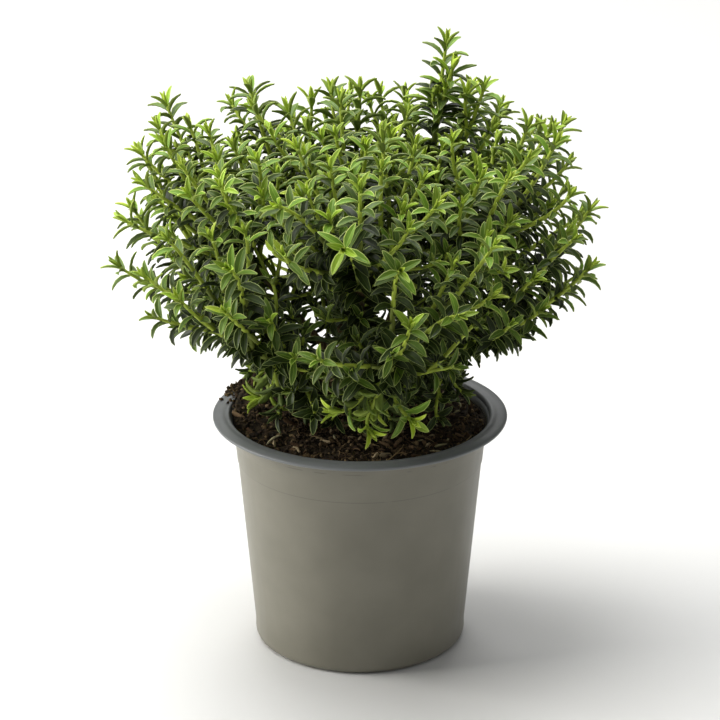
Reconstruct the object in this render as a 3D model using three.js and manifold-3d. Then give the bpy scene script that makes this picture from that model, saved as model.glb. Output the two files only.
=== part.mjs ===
// A hebe shrub in its round nursery pot. Millimetres, +Z up, origin at the centre of the pot's flat underside.
//
// The pot holds a compost root ball. One short main stem stands on the compost and forks low into boughs,
// one to each mass of foliage. A mass is one fused solid: the bough's stem grows on, side shoots branch off it
// towards tips spread evenly over the crown's surface, and every shoot carries crosswise pairs of leaves.
import * as THREE from 'three';
import { mergeVertices } from 'three/addons/utils/BufferGeometryUtils.js';
import Module from 'manifold-3d';

const wasm = await Module();
wasm.setup();

// ---------------------------------------------------------------- driving dimensions

const GAP = 0.3; // between neighbouring solids
const SLIVER = 0.03; // detail smaller than this is smoothed away after a union

const POT = {
  height: 86,
  rimRadius: 52.5,
  rimWidth: 6.2, // from the outer lip to the mouth
  rimDrop: 1.6, // height of the lip's outer edge
  wallTopRadius: 45.4, // outside, just under the rim
  baseRadius: 38,
  wall: 0.9,
  stepBelowRim: 17, // stacking step on the wall
  stepDepth: 0.3,
  footRadius: 2.5, // rounding between wall and base
  drainHoles: 8,
  drainRadius: 3.2,
  drainCircle: 29,
  sides: 40,
};

const SOIL = { top: 82, lump: 1.3, flatRadius: 9, rings: 5 };

const TRUNK = {
  height: 17,
  baseRadius: 4.4, // root flare at the compost
  neckRadius: 3.1, // above the flare
  topRadius: 2.6,
  lean: [1.2, -0.8], // sideways shift at the top
  sides: 10,
};

// The crown is a squat dome: a superellipsoid, rounder below its widest level than above it.
const CROWN = {
  halfWidth: 86, // along X
  halfDepth: 81, // along Y
  widest: 66, // height of the widest level above the compost
  rise: 56, // from there to the top
  fall: 58, // from there to the lowest leaves
  powerAbove: 4,
  powerBelow: 2,
  lowestTilt: 60, // of the side shoots' tips, from straight up, seen from where the boughs meet
};

// Part of the crown's front is open down to the older wood: no shoot ends inside this ellipsoid.
const HOLLOW = {
  middle: [0, -74, 66], // the last number is above the compost
  half: [36, 34, 15],
};

// Rings of foliage masses: tilt is measured from straight up, turn is the first mass's direction from +X.
const RINGS = [
  { name: 'low', count: 6, tilt: 54, turn: 42, forkFrom: 2.6, forkTo: 5.2 },
  { name: 'mid', count: 5, tilt: 34, turn: 54, forkFrom: 9.4, forkTo: 12 },
  { name: 'top', count: 1, tilt: 4, turn: 150, forkFrom: 17, forkTo: 17 },
];

// Tips with a place of their own: those that stand out of the dome, some low ones, and some on its front.
// x, y, height above the compost, and how far the shoot's end turns up from facing outward.
const SPIKES = [
  [29, 26, 131, 0.4],
  [-67, 14, 112, 0.6],
  [-37, 22, 115, 0.4],
  [0, 30, 113, 0.3],
  [-10, 18, 115, 0.3],
  [43, 20, 116, 0.3],
  [70, 8, 106, 0.3],
  [-79, 6, 77, 0.5],
  [-84, 2, 57, 0.25],
  [17, -47, 19, 0.05],
  [5, -40, 21, -0.1],
  [-33, -12, 24, -0.2],
  [-62, -5, 37, -0.1],
  [-26, -63, 99, -0.5],
  [-42, -64, 78, -0.3],
  [-5, -73, 88, -0.5],
  [12, -74, 82, -0.5],
  [32, -69, 64, -0.4],
  [-62, 5, 97, 0.3],
  [-26, 22, 107, 0.3],
  [-17, 34, 108, 0.3],
];

const BOUGH = { share: 0.28, startRadius: 1.5, endRadius: 1.1, sides: 6, steps: 4 };

const SHOOT = {
  tips: 74, // spread over the whole crown
  stemRadius: 1, // where a mass's stem meets its bough
  sideRadius: 0.75,
  tipRadius: 0.42,
  steps: 4,
  sides: 3,
  clearOfFace: 3.5, // tips keep this far inside their mass's own space
  apart: 12, // and this far from each other
  reach: [0.84, 0.95], // seeded range of a tip's distance, as a share of the dome's
  turnUp: [-0.1, 0.42], // seeded range for all other side shoots' ends
};

const LEAF = {
  length: 17.5,
  width: 7.4,
  sunk: 0.12, // root past the middle of its twig
  pairSpacing: 9.4,
  firstPair: 7, // bare length at a side shoot's foot
  widest: 0.46, // where along the blade, as a share of its length
  arch: 0.07, // rise of the blade there, as a share of its length
  droop: 0.04, // fall of its tip
  openAngle: 78, // from the shoot, low down
  tipAngle: 26, // at the shoot's tip
  tipScale: 0.62, // length of the youngest leaves
  // Size and inward fold in degrees, tried in turn before a leaf with no room is skipped.
  fits: [[1, 0], [1, 26], [0.8, 10], [0.8, 40], [0.6, 0]],
};

const COLOURS = {
  pot: 0x8a8778,
  soil: 0x33291f,
  stem: 0x6f6a3c,
  leaf: 0x5f7f2b,
};

// ---------------------------------------------------------------- small tools

const UP = new THREE.Vector3(0, 0, 1);
const radians = THREE.MathUtils.degToRad;
const mix = THREE.MathUtils.lerp;

/** A repeatable stream of numbers from 0 to 1. */
function seeded(seed) {
  let state = seed;
  return () => {
    state = (state * 16807) % 2147483647;
    return (state - 1) / 2147483646;
  };
}

/** A closed BufferGeometry as a manifold solid. */
function solidOf(geometry) {
  const bare = geometry.clone();
  bare.deleteAttribute('normal');
  bare.deleteAttribute('uv');
  const merged = mergeVertices(bare, 1e-4);
  return new wasm.Manifold(new wasm.Mesh({
    numProp: 3,
    vertProperties: new Float32Array(merged.attributes.position.array),
    triVerts: new Uint32Array(merged.index.array),
  }));
}

/** The largest outer shell of a manifold solid as a BufferGeometry: sealed hollows and loose scraps are dropped. */
function geometryOf(solid) {
  const bodies = solid.asOriginal().simplify(SLIVER).decompose().sort((a, b) => b.volume() - a.volume());
  const mesh = bodies[0].getMesh();
  const places = new Float32Array(mesh.numVert * 3);
  for (let i = 0; i < mesh.numVert; i++) {
    places.set(mesh.vertProperties.subarray(i * mesh.numProp, i * mesh.numProp + 3), i * 3);
  }
  const geometry = new THREE.BufferGeometry();
  geometry.setAttribute('position', new THREE.BufferAttribute(places, 3));
  geometry.setIndex(new THREE.BufferAttribute(mesh.triVerts, 1));
  return geometry;
}

function closedGeometry(points, faces) {
  const geometry = new THREE.BufferGeometry();
  geometry.setAttribute('position', new THREE.Float32BufferAttribute(points.flatMap((p) => p.toArray()), 3));
  geometry.setIndex(faces.flat());
  return geometry;
}

/** A tapering limb along a curve between two of its parameters, with flat ends. radiusAt takes the share from 0 to 1. */
function limb(curve, from, to, radiusAt, sides, steps) {
  const points = [];
  const faces = [];
  let side = new THREE.Vector3(1, 0, 0);
  for (let i = 0; i <= steps; i++) {
    const at = mix(from, to, i / steps);
    const centre = curve.getPoint(at);
    const along = curve.getTangent(at);
    side = side.clone().addScaledVector(along, -side.dot(along)).normalize();
    const other = new THREE.Vector3().crossVectors(along, side);
    for (let k = 0; k < sides; k++) {
      const turn = (2 * Math.PI * k) / sides;
      points.push(centre.clone()
        .addScaledVector(side, Math.cos(turn) * radiusAt(i / steps))
        .addScaledVector(other, Math.sin(turn) * radiusAt(i / steps)));
    }
  }
  for (let i = 0; i < steps; i++) {
    for (let k = 0; k < sides; k++) {
      const a = i * sides + k;
      const b = i * sides + ((k + 1) % sides);
      faces.push([a, b, b + sides], [a, b + sides, a + sides]);
    }
  }
  for (let k = 1; k < sides - 1; k++) {
    const top = steps * sides;
    faces.push([0, k + 1, k], [top, top + k, top + k + 1]);
  }
  return closedGeometry(points, faces);
}

function piece(name, geometry, colour, roughness) {
  const mesh = new THREE.Mesh(geometry, new THREE.MeshStandardMaterial({ color: colour, roughness, metalness: 0 }));
  mesh.name = name;
  return mesh;
}

// ---------------------------------------------------------------- pot and compost

/** Outside radius of the pot's wall at a height, without the stacking step. */
function wallRadius(z) {
  return mix(POT.baseRadius, POT.wallTopRadius, z / (POT.height - POT.rimDrop));
}

/** The lathe's points start and end on the axis: underside, wall, rim, then down the inside to the floor. */
function potGeometry() {
  const { height, rimRadius, rimWidth, rimDrop, wall, footRadius } = POT;
  const stepAt = height - POT.stepBelowRim;
  const mouth = rimRadius - rimWidth;
  const profile = [[0, 0], [POT.baseRadius - footRadius, 0]];
  for (const share of [0.5, 1]) {
    const turn = share * Math.PI / 2;
    profile.push([
      POT.baseRadius - footRadius * (1 - Math.sin(turn)),
      footRadius * (1 - Math.cos(turn)),
    ]);
  }
  profile.push(
    [wallRadius(stepAt) - POT.stepDepth, stepAt - 0.6],
    [wallRadius(stepAt), stepAt],
    [POT.wallTopRadius, height - rimDrop - 2.4],
    [POT.wallTopRadius + 1.4, height - rimDrop - 0.3],
    [rimRadius - 0.7, height - rimDrop - 0.2],
    [rimRadius, height - rimDrop + 0.5],
    [rimRadius - 0.5, height - 0.7],
    [rimRadius - 0.35 * rimWidth, height],
    [mouth + 0.6, height - 0.3],
    [mouth, height - 1.2],
    [wallRadius(stepAt) - wall, stepAt - 1],
    [wallRadius(footRadius + wall) - wall, footRadius + wall],
    [POT.baseRadius - footRadius, wall],
    [0, wall],
  );
  const outline = profile.map(([r, z]) => new THREE.Vector2(r, z));
  const shell = new THREE.LatheGeometry(outline, POT.sides).rotateX(Math.PI / 2);
  let solid = solidOf(shell);
  for (let i = 0; i < POT.drainHoles; i++) {
    const turn = (2 * Math.PI * (i + 0.5)) / POT.drainHoles;
    const hole = new THREE.CylinderGeometry(POT.drainRadius, POT.drainRadius, 4 * wall, 8).rotateX(Math.PI / 2);
    hole.translate(Math.cos(turn) * POT.drainCircle, Math.sin(turn) * POT.drainCircle, wall / 2);
    solid = solid.subtract(solidOf(hole));
  }
  return geometryOf(solid);
}

/** Inside radius of the pot at a height, where the compost fills it. */
function innerRadius(z) {
  const stepAt = POT.height - POT.stepBelowRim;
  const mouth = POT.rimRadius - POT.rimWidth;
  const low = wallRadius(stepAt) - POT.wall;
  return z < stepAt ? wallRadius(z) - POT.wall : mix(low, mouth, (z - stepAt) / (POT.height - 1.2 - stepAt));
}

/** Height of the compost's lumpy top, flat round the main stem. */
function soilHeight(x, y) {
  const r = Math.hypot(x, y);
  const fade = THREE.MathUtils.smoothstep(r, SOIL.flatRadius, SOIL.flatRadius * 2);
  const lumps = Math.sin(0.21 * x + 1.1) * Math.cos(0.17 * y - 0.4) + 0.5 * Math.sin(0.39 * x - 0.31 * y);
  return SOIL.top + fade * SOIL.lump * lumps;
}

/** A plug that follows the pot's inside, 0.35 mm clear of it, under a lumpy top of concentric rings. */
function soilGeometry() {
  const clear = GAP + 0.06;
  const levels = [
    [POT.baseRadius - POT.footRadius - clear, POT.wall + clear],
    [innerRadius(POT.footRadius + POT.wall + clear) - clear, POT.footRadius + POT.wall + clear],
    [innerRadius(POT.height - POT.stepBelowRim - 1) - clear, POT.height - POT.stepBelowRim - 1],
  ];
  const rimOfSoil = innerRadius(SOIL.top - SOIL.lump) - clear;
  const points = [new THREE.Vector3(0, 0, POT.wall + clear)];
  const ring = (radius, heightAt) => {
    for (let k = 0; k < POT.sides; k++) {
      const turn = (2 * Math.PI * k) / POT.sides;
      const x = Math.sin(turn) * radius;
      const y = Math.cos(turn) * radius;
      points.push(new THREE.Vector3(x, y, heightAt(x, y)));
    }
  };
  for (const [radius, z] of levels) ring(radius, () => z);
  for (let i = SOIL.rings; i >= 1; i--) ring((rimOfSoil * i) / SOIL.rings, soilHeight);
  points.push(new THREE.Vector3(0, 0, SOIL.top));
  const faces = [];
  const rings = levels.length + SOIL.rings;
  for (let k = 0; k < POT.sides; k++) {
    const next = (k + 1) % POT.sides;
    faces.push([0, 1 + k, 1 + next]);
    for (let i = 0; i < rings - 1; i++) {
      const a = 1 + i * POT.sides + k;
      const b = 1 + i * POT.sides + next;
      faces.push([b, a, a + POT.sides], [b, a + POT.sides, b + POT.sides]);
    }
    const last = 1 + (rings - 1) * POT.sides;
    faces.push([last + next, last + k, points.length - 1]);
  }
  return closedGeometry(points, faces);
}

// ---------------------------------------------------------------- the crown's plan

const FOOT = new THREE.Vector3(0, 0, SOIL.top + 6); // all masses' spaces fan out from here

/** Distance from FOOT to the dome's surface in a direction. */
function domeReach(direction) {
  let near = 0;
  let far = 2 * CROWN.halfWidth;
  for (let i = 0; i < 30; i++) {
    const at = (near + far) / 2;
    const p = FOOT.clone().addScaledVector(direction, at);
    const up = p.z - SOIL.top - CROWN.widest;
    const power = up > 0 ? CROWN.powerAbove : CROWN.powerBelow;
    const across = Math.hypot(p.x / CROWN.halfWidth, p.y / CROWN.halfDepth);
    const inside = across ** power + Math.abs(up / (up > 0 ? CROWN.rise : CROWN.fall)) ** power < 1;
    if (inside) near = at;
    else far = at;
  }
  return near;
}

function directionOf(tilt, turn) {
  return new THREE.Vector3(
    Math.sin(tilt) * Math.cos(turn),
    Math.sin(tilt) * Math.sin(turn),
    Math.cos(tilt),
  );
}

/** One entry for each foliage mass: its name, axis, leader tip and the curve from the main stem to that tip. */
function planMasses() {
  const masses = [];
  for (const ring of RINGS) {
    for (let i = 0; i < ring.count; i++) {
      const turn = radians(ring.turn + (360 * i) / ring.count);
      const axis = directionOf(radians(ring.tilt), turn);
      const tip = FOOT.clone().addScaledVector(axis, domeReach(axis) * SHOOT.reach[1]);
      const fork = i % 2 ? ring.forkTo : ring.forkFrom;
      const outward = new THREE.Vector3(axis.x, axis.y, 0).normalize();
      const isTop = fork >= TRUNK.height;
      const start = trunkLine.getPoint(Math.min(1, fork / TRUNK.height))
        .addScaledVector(outward, isTop ? 1.75 : 1.2);
      if (isTop) start.z += GAP;
      const span = tip.distanceTo(start);
      const leave = axis.clone().addScaledVector(UP, isTop ? 0.8 : 0.2).normalize();
      const arrive = axis.clone().addScaledVector(UP, 0.4).normalize();
      const line = new THREE.CubicBezierCurve3(
        start,
        start.clone().addScaledVector(leave, span / 3),
        tip.clone().addScaledVector(arrive, -span / 3),
        tip,
      );
      const name = `${ring.name}_${i + 1}`;
      masses.push({ name, axis, tip, line, tips: [], number: masses.length });
    }
  }
  // Each mass's space is the cone of directions nearer to its axis than to any other's.
  for (const mass of masses) {
    mass.faces = masses
      .filter((other) => other !== mass)
      .map((other) => mass.axis.clone().sub(other.axis).normalize());
  }
  return masses;
}

/** How far inside its mass's space a point lies: the least distance to the faces that bound it. */
function depthInSpace(mass, point) {
  const from = point.clone().sub(FOOT);
  return Math.min(...mass.faces.map((face) => from.dot(face)));
}

/** Gives a tip to the mass in whose space it lies, unless it would crowd another. */
function dealTip(masses, tip, turnUp) {
  const direction = tip.clone().sub(FOOT).normalize();
  const mass = masses.reduce((best, m) => (direction.dot(m.axis) > direction.dot(best.axis) ? m : best));
  for (const face of mass.faces) {
    const depth = tip.clone().sub(FOOT).dot(face);
    if (depth < SHOOT.clearOfFace) tip.addScaledVector(face, SHOOT.clearOfFace - depth);
  }
  const others = [mass.tip, ...mass.tips.map((dealt) => dealt.place)];
  if (others.every((other) => tip.distanceTo(other) > SHOOT.apart)) mass.tips.push({ place: tip, turnUp });
}

/** Whether a tip lies in the open part of the crown's front. */
function inHollow(tip) {
  const [x, y, height] = HOLLOW.middle;
  const off = tip.clone().sub(new THREE.Vector3(x, y, SOIL.top + height));
  return off.divide(new THREE.Vector3(...HOLLOW.half)).length() < 1;
}

/** Deals the spikes, then tips spread evenly over the dome by the golden angle. */
function dealTips(masses) {
  for (const [x, y, z, turnUp] of SPIKES) dealTip(masses, new THREE.Vector3(x, y, SOIL.top + z), turnUp);
  const random = seeded(4021);
  const golden = Math.PI * (3 - Math.sqrt(5));
  for (let i = 0; i < SHOOT.tips; i++) {
    const rise = mix(1, -0.5, (i + 0.5) / SHOOT.tips);
    const across = Math.sqrt(1 - rise * rise);
    const turn = i * golden;
    const onDome = new THREE.Vector3(
      across * Math.cos(turn) * CROWN.halfWidth,
      across * Math.sin(turn) * CROWN.halfDepth,
      SOIL.top + CROWN.widest + rise * (rise > 0 ? CROWN.rise : CROWN.fall),
    );
    const direction = onDome.sub(FOOT).normalize();
    if (direction.z < Math.cos(radians(CROWN.lowestTilt))) continue;
    const share = mix(SHOOT.reach[0], SHOOT.reach[1], random());
    const tip = FOOT.clone().addScaledVector(direction, domeReach(direction) * share);
    if (!inHollow(tip)) dealTip(masses, tip);
  }
}

// ---------------------------------------------------------------- limbs

const trunkLine = new THREE.LineCurve3(
  new THREE.Vector3(0, 0, SOIL.top + GAP),
  new THREE.Vector3(TRUNK.lean[0], TRUNK.lean[1], SOIL.top + GAP + TRUNK.height),
);

function trunkRadius(share) {
  const flare = Math.max(0, 1 - share / 0.25) ** 2;
  return mix(TRUNK.neckRadius, TRUNK.topRadius, share) + flare * (TRUNK.baseRadius - TRUNK.neckRadius);
}

/** The main stem's ends are level, so its foot is a flat cut on the compost. extra swells it, to cut clearances. */
function trunkGeometry(extra) {
  const outline = [];
  const rings = 8;
  for (let i = 0; i <= rings; i++) {
    outline.push(new THREE.Vector2(trunkRadius(i / rings) + extra, (TRUNK.height * i) / rings));
  }
  outline.unshift(new THREE.Vector2(0, 0));
  outline.push(new THREE.Vector2(0, TRUNK.height));
  const geometry = new THREE.LatheGeometry(outline, TRUNK.sides).rotateX(Math.PI / 2);
  const shear = new THREE.Matrix4().set(
    1, 0, TRUNK.lean[0] / TRUNK.height, 0,
    0, 1, TRUNK.lean[1] / TRUNK.height, 0,
    0, 0, 1, SOIL.top + GAP,
    0, 0, 0, 1,
  );
  return geometry.applyMatrix4(shear);
}

/** A bough runs from just clear of the main stem to where its mass begins. */
function boughGeometry(mass, swollenTrunk) {
  const radiusAt = (share) => mix(BOUGH.startRadius, BOUGH.endRadius, share);
  const whole = limb(mass.line, 0, BOUGH.share, radiusAt, BOUGH.sides, BOUGH.steps);
  return geometryOf(solidOf(whole).subtract(swollenTrunk));
}

// ---------------------------------------------------------------- foliage

/** Points along all boughs with their radii, for telling what would touch them. */
function boughPoints(masses) {
  const found = [];
  for (const mass of masses) {
    for (let i = 0; i <= 24; i++) {
      const share = i / 24;
      found.push([
        mass.line.getPoint(BOUGH.share * share),
        mix(BOUGH.startRadius, BOUGH.endRadius, share),
      ]);
    }
  }
  return found;
}

/** True if a point keeps to its mass's space, above the pot and clear of the boughs by the margin. */
function isFree(point, mass, limbs, margin) {
  if (depthInSpace(mass, point) < margin) return false;
  const r = Math.hypot(point.x, point.y);
  const floor = r > POT.rimRadius - POT.rimWidth - 3 ? POT.height + 0.6 : SOIL.top + 2.2 * SOIL.lump;
  if (point.z - margin < floor && r < POT.rimRadius + 3) return false;
  return limbs.every(([centre, radius]) => centre.distanceTo(point) > radius + margin);
}

/** A side shoot leaves the mass's stem low for a far tip and high for a near one, and ends facing outward. */
function sideShoot(mass, tip, turnUp, random) {
  const away = tip.clone().sub(FOOT).normalize().angleTo(mass.axis);
  const leaveAt = mix(BOUGH.share + 0.36, BOUGH.share + 0.08, Math.min(1, away / 0.6)) + 0.08 * (random() - 0.5);
  const start = mass.line.getPoint(leaveAt);
  const straight = tip.clone().sub(start);
  const span = straight.length();
  straight.normalize();
  const leave = mass.line.getTangent(leaveAt).multiplyScalar(0.5).addScaledVector(straight, 0.5).normalize();
  const outward = tip.clone().sub(FOOT).normalize();
  const arrive = straight.clone().add(outward).multiplyScalar(0.5)
    .addScaledVector(UP, turnUp ?? mix(...SHOOT.turnUp, random())).normalize();
  return new THREE.CubicBezierCurve3(
    start,
    start.clone().addScaledVector(leave, span / 3),
    tip.clone().addScaledVector(arrive, -span / 3),
    tip,
  );
}

/** The corners of a leaf: root, two edges and tip. It is arched, and keeled below from root to tip. */
function leafCorners(root, along, outward, size) {
  const blade = along.clone().cross(outward).normalize();
  const upper = outward.clone().cross(blade).normalize();
  const length = LEAF.length * size;
  const middle = root.clone()
    .addScaledVector(outward, LEAF.widest * length)
    .addScaledVector(upper, LEAF.arch * length);
  return [
    root,
    middle.clone().addScaledVector(blade, LEAF.width * size * 0.5),
    middle.clone().addScaledVector(blade, -LEAF.width * size * 0.5),
    root.clone().addScaledVector(outward, length).addScaledVector(upper, -LEAF.droop * length),
  ];
}

const LEAF_FACES = [[0, 2, 1], [3, 1, 2], [0, 1, 3], [0, 3, 2]];

/** True if a leaf would run through a twig or leaf that is there already. */
function crosses(leaf, taken) {
  return taken.some((other) => leaf.box.intersectsBox(other.box) && !leaf.solid.intersect(other.solid).isEmpty());
}

/** A geometry's solid with the box round it. */
function boxed(geometry) {
  geometry.computeBoundingBox();
  return { solid: solidOf(geometry), box: geometry.boundingBox };
}

/** The first of the fits at which a leaf has room, or nothing. */
function leafThatFits(centre, along, sideways, open, grown, mass, limbs, taken) {
  for (const [size, fold] of LEAF.fits) {
    const angle = radians(Math.max(open - fold, LEAF.tipAngle));
    const outward = along.clone().multiplyScalar(Math.cos(angle)).addScaledVector(sideways, Math.sin(angle));
    const root = centre.clone().addScaledVector(outward, -LEAF.sunk);
    const corners = leafCorners(root, along, outward, grown * size);
    if (!corners.slice(1).every((corner) => isFree(corner, mass, limbs, GAP + 0.15))) continue;
    const leaf = boxed(closedGeometry(corners, LEAF_FACES));
    if (!crosses(leaf, taken)) return leaf;
  }
  return null;
}

/** Crosswise pairs of leaves along a shoot, wide open low down and closing towards its tip. */
function leavesAlong(shoot, mass, limbs, taken, random) {
  const made = [];
  const length = shoot.curve.getLength() * (1 - shoot.from);
  const pairs = Math.max(1, Math.floor((length - LEAF.firstPair) / LEAF.pairSpacing));
  let side = new THREE.Vector3(random() - 0.5, random() - 0.5, 0.3);
  for (let i = 0; i <= pairs; i++) {
    const share = i / pairs;
    const at = mix(shoot.from + (1 - shoot.from) * (LEAF.firstPair / length), 0.985, share);
    const centre = shoot.curve.getPoint(at);
    const along = shoot.curve.getTangent(at);
    side.addScaledVector(along, -side.dot(along)).normalize();
    const open = mix(LEAF.openAngle, LEAF.tipAngle, share ** 2);
    const grown = mix(1, LEAF.tipScale, share ** 3);
    const pair = [1, -1].map((way) => (
      leafThatFits(centre, along, side.clone().multiplyScalar(way), open, grown, mass, limbs, taken)
    ));
    made.push(...pair.filter(Boolean));
    taken.push(...pair.filter(Boolean));
    side = new THREE.Vector3().crossVectors(along, side).applyAxisAngle(along, 0.3 * (random() - 0.5));
  }
  return made;
}

/** One mass of foliage: the bough's stem carried on to its leader tip, side shoots and leaves, fused into one. */
function massGeometry(mass, limbs) {
  const random = seeded(101 + 37 * mass.number);
  const away = limbs.filter(([centre]) => centre.distanceTo(mass.line.getPoint(BOUGH.share)) > 2.5);
  const shoots = [{ curve: mass.line, from: BOUGH.share + GAP / mass.line.getLength(), radius: SHOOT.stemRadius }];
  for (const { place, turnUp } of mass.tips) {
    const curve = sideShoot(mass, place, turnUp, random);
    const clear = curve.getPoints(12).every((p) => isFree(p, mass, away, SHOOT.sideRadius + GAP));
    if (clear) shoots.push({ curve, from: 0, radius: SHOOT.sideRadius });
  }
  for (const shoot of shoots) {
    const radiusAt = (share) => mix(shoot.radius, SHOOT.tipRadius, share);
    shoot.twig = boxed(limb(shoot.curve, shoot.from, 1, radiusAt, SHOOT.sides, SHOOT.steps));
  }
  const twigs = shoots.map((shoot) => shoot.twig);
  const leaves = [];
  for (const shoot of shoots) {
    const taken = [...twigs.filter((twig) => twig !== shoot.twig), ...leaves];
    leaves.push(...leavesAlong(shoot, mass, limbs, taken, random));
  }
  return geometryOf(wasm.Manifold.union([...twigs, ...leaves].map((entry) => entry.solid)));
}

// ---------------------------------------------------------------- the whole plant

const shrub = new THREE.Group();
shrub.add(piece('pot', potGeometry(), COLOURS.pot, 0.45));
shrub.add(piece('soil', soilGeometry(), COLOURS.soil, 0.95));
shrub.add(piece('main_stem', trunkGeometry(0), COLOURS.stem, 0.7));

const masses = planMasses();
dealTips(masses);
const swollenTrunk = solidOf(trunkGeometry(GAP));
const limbs = boughPoints(masses);
for (const mass of masses) {
  shrub.add(piece(`bough_${mass.name}`, boughGeometry(mass, swollenTrunk), COLOURS.stem, 0.7));
  shrub.add(piece(`foliage_${mass.name}`, massGeometry(mass, limbs), COLOURS.leaf, 0.5));
}

export default shrub;
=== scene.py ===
"""A young hebe shrub in its round nursery pot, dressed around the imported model.

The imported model's frame holds: +Z up, the origin under the middle of the pot. Shapes are worked out in
millimetres and turned to metres when their mesh is made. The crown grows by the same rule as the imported
solids: boughs fan out of a short main stem, side shoots run to tips spread over a dome, and crosswise pairs
of leaves line every shoot. Here the rule is carried on to finer twigs and to leaves of life size.
"""
import math

import bpy
import numpy as np
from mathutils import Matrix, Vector, noise


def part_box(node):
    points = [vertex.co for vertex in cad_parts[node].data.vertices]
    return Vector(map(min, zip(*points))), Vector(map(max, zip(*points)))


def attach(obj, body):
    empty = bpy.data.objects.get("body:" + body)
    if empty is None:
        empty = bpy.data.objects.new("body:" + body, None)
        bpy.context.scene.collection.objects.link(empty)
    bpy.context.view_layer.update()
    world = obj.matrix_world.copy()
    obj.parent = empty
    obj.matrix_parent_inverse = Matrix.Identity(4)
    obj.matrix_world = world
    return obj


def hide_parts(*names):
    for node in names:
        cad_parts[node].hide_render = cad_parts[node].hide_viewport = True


MM = 0.001
UP = np.array([0.0, 0.0, 1.0])
ASIDE = np.array([0.3, 0.9, 0.1])  # a direction that no limb or fibre starts along
GOLDEN = math.pi * (3 - math.sqrt(5))  # the golden angle

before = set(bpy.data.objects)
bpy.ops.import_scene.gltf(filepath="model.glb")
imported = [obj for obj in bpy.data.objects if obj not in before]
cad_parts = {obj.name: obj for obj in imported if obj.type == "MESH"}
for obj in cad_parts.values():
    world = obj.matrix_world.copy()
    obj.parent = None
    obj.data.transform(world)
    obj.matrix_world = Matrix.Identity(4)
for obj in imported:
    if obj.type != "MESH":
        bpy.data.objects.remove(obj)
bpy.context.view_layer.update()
POT_BOX = [np.array(corner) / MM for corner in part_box("pot")]
SOIL_BOX = [np.array(corner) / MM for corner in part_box("soil")]
STEM_BOX = [np.array(corner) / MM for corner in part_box("main_stem")]

# ---------------------------------------------------------------- sizes, in millimetres

GAP = 0.3  # between the main stem's foot and the compost
SOIL_TOP = STEM_BOX[0][2] - GAP  # level of the compost round the main stem

POT = {
    "height": POT_BOX[1][2],
    "rim_radius": POT_BOX[1][0],
    "rim_width": 6.2,
    "rim_drop": 1.6,  # height of the lip's outer edge
    "wall_top_radius": 45.4,  # outside, just under the rim
    "base_radius": 38.0,
    "wall": 0.9,
    "step_below_rim": 17.0,  # stacking step on the wall
    "step_depth": 0.3,
    "seam_below_rim": 6.1,  # broken moulding seam under the lip
    "foot_radius": 2.5,
    "drain_holes": 8,
    "drain_radius": 3.2,
    "drain_circle": 29.0,
    "sides": 176,
}

TRUNK = {
    "height": 17.0,
    "base_radius": 4.4,
    "neck_radius": 3.1,
    "top_radius": 2.6,
    "lean": (1.2, -0.8),
    "flare": 0.25,  # share of the height that the root flare takes
    "rings": 30,
    "sides": 28,
    "relief": 0.12,  # of the bark, as a share of the radius
}

# The crown is a squat dome: a superellipsoid, rounder below its widest level than above it.
CROWN = {
    "half_width": 86.0,
    "half_depth": 81.0,
    "widest": 66.0,  # above the compost
    "rise": 56.0,
    "fall": 58.0,
    "power_above": 4.0,
    "power_below": 2.0,
    "lowest_tilt": 60.0,  # of side shoots' tips, from straight up
}

# Tips with a place of their own: those that stand out of the dome, some low ones, and some on its front.
# x, y, height above the compost, and how far the shoot's end turns up from facing outward.
SPIKES = (
    (29, 26, 131, 0.4), (-67, 14, 112, 0.6), (-37, 22, 115, 0.4), (0, 30, 113, 0.3), (-10, 18, 115, 0.3),
    (43, 20, 116, 0.3), (70, 8, 106, 0.3), (-79, 6, 77, 0.5), (-84, 2, 57, 0.25), (17, -47, 19, 0.05),
    (5, -40, 21, -0.1), (-33, -12, 24, -0.2), (-62, -5, 37, -0.1), (-26, -63, 99, -0.5),
    (-42, -64, 78, -0.3), (-5, -73, 88, -0.5), (12, -74, 82, -0.5), (32, -69, 64, -0.4),
    (-62, 5, 97, 0.3), (-26, 22, 107, 0.3), (-17, 34, 108, 0.3),
)

# Part of the crown's front is open down to the older wood: no shoot ends inside this ellipsoid. The last
# number of its middle is above the compost.
HOLLOW = {"middle": (0, -74, 66), "half": (36, 34, 15)}

# Rings of foliage masses: name, count, tilt from straight up, first direction from +X, lower and upper fork.
RINGS = (("low", 6, 54, 42, 2.6, 5.2), ("mid", 5, 34, 54, 9.4, 12.0), ("top", 1, 4, 150, 17.0, 17.0))

BOUGH = {
    "share": 0.28,  # of a mass's curve, from the main stem
    "start_radius": 1.5,
    "end_radius": 1.1,
    "start_out": (1.2, 1.75),  # from the main stem's middle: a side bough and the leader
    "rings": 26,
    "sides": 12,
    "relief": 0.14,
}

SHOOT = {
    "tips": 74,
    "clear_of_face": 3.5,
    "apart": 12.0,
    "reach": (0.84, 0.95),
    "turn_up": (-0.1, 0.42),  # of all other side shoots' ends
    "leaves_at": (0.36, 0.08),  # past the bough's end, as shares of the curve: for a near tip and a far one
    "far": 0.6,  # radians between a mass's axis and a far tip
    "scatter": 0.08,  # of the places where shoots leave
    "radius_at_tip": 0.52,
    "thickening": 0.014,  # radius gained for each millimetre down from the tip
    "thickest": 1.1,
    "step": 1.1,  # between rings of a twig's mesh
    "sides": 6,
    "node_swelling": 0.13,  # share of the radius, at each pair of leaves
    "node_length": 0.9,
    "skins": (24, 52),  # down from the tip: where the green skin and the brown bark begin
}

TWIG_FEET = (0.15, 0.88)  # shares of a parent shoot between which finer twigs leave it
BEND_COST = 24.0  # a bend of one radian counts as much as this many millimetres of wrong length

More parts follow.
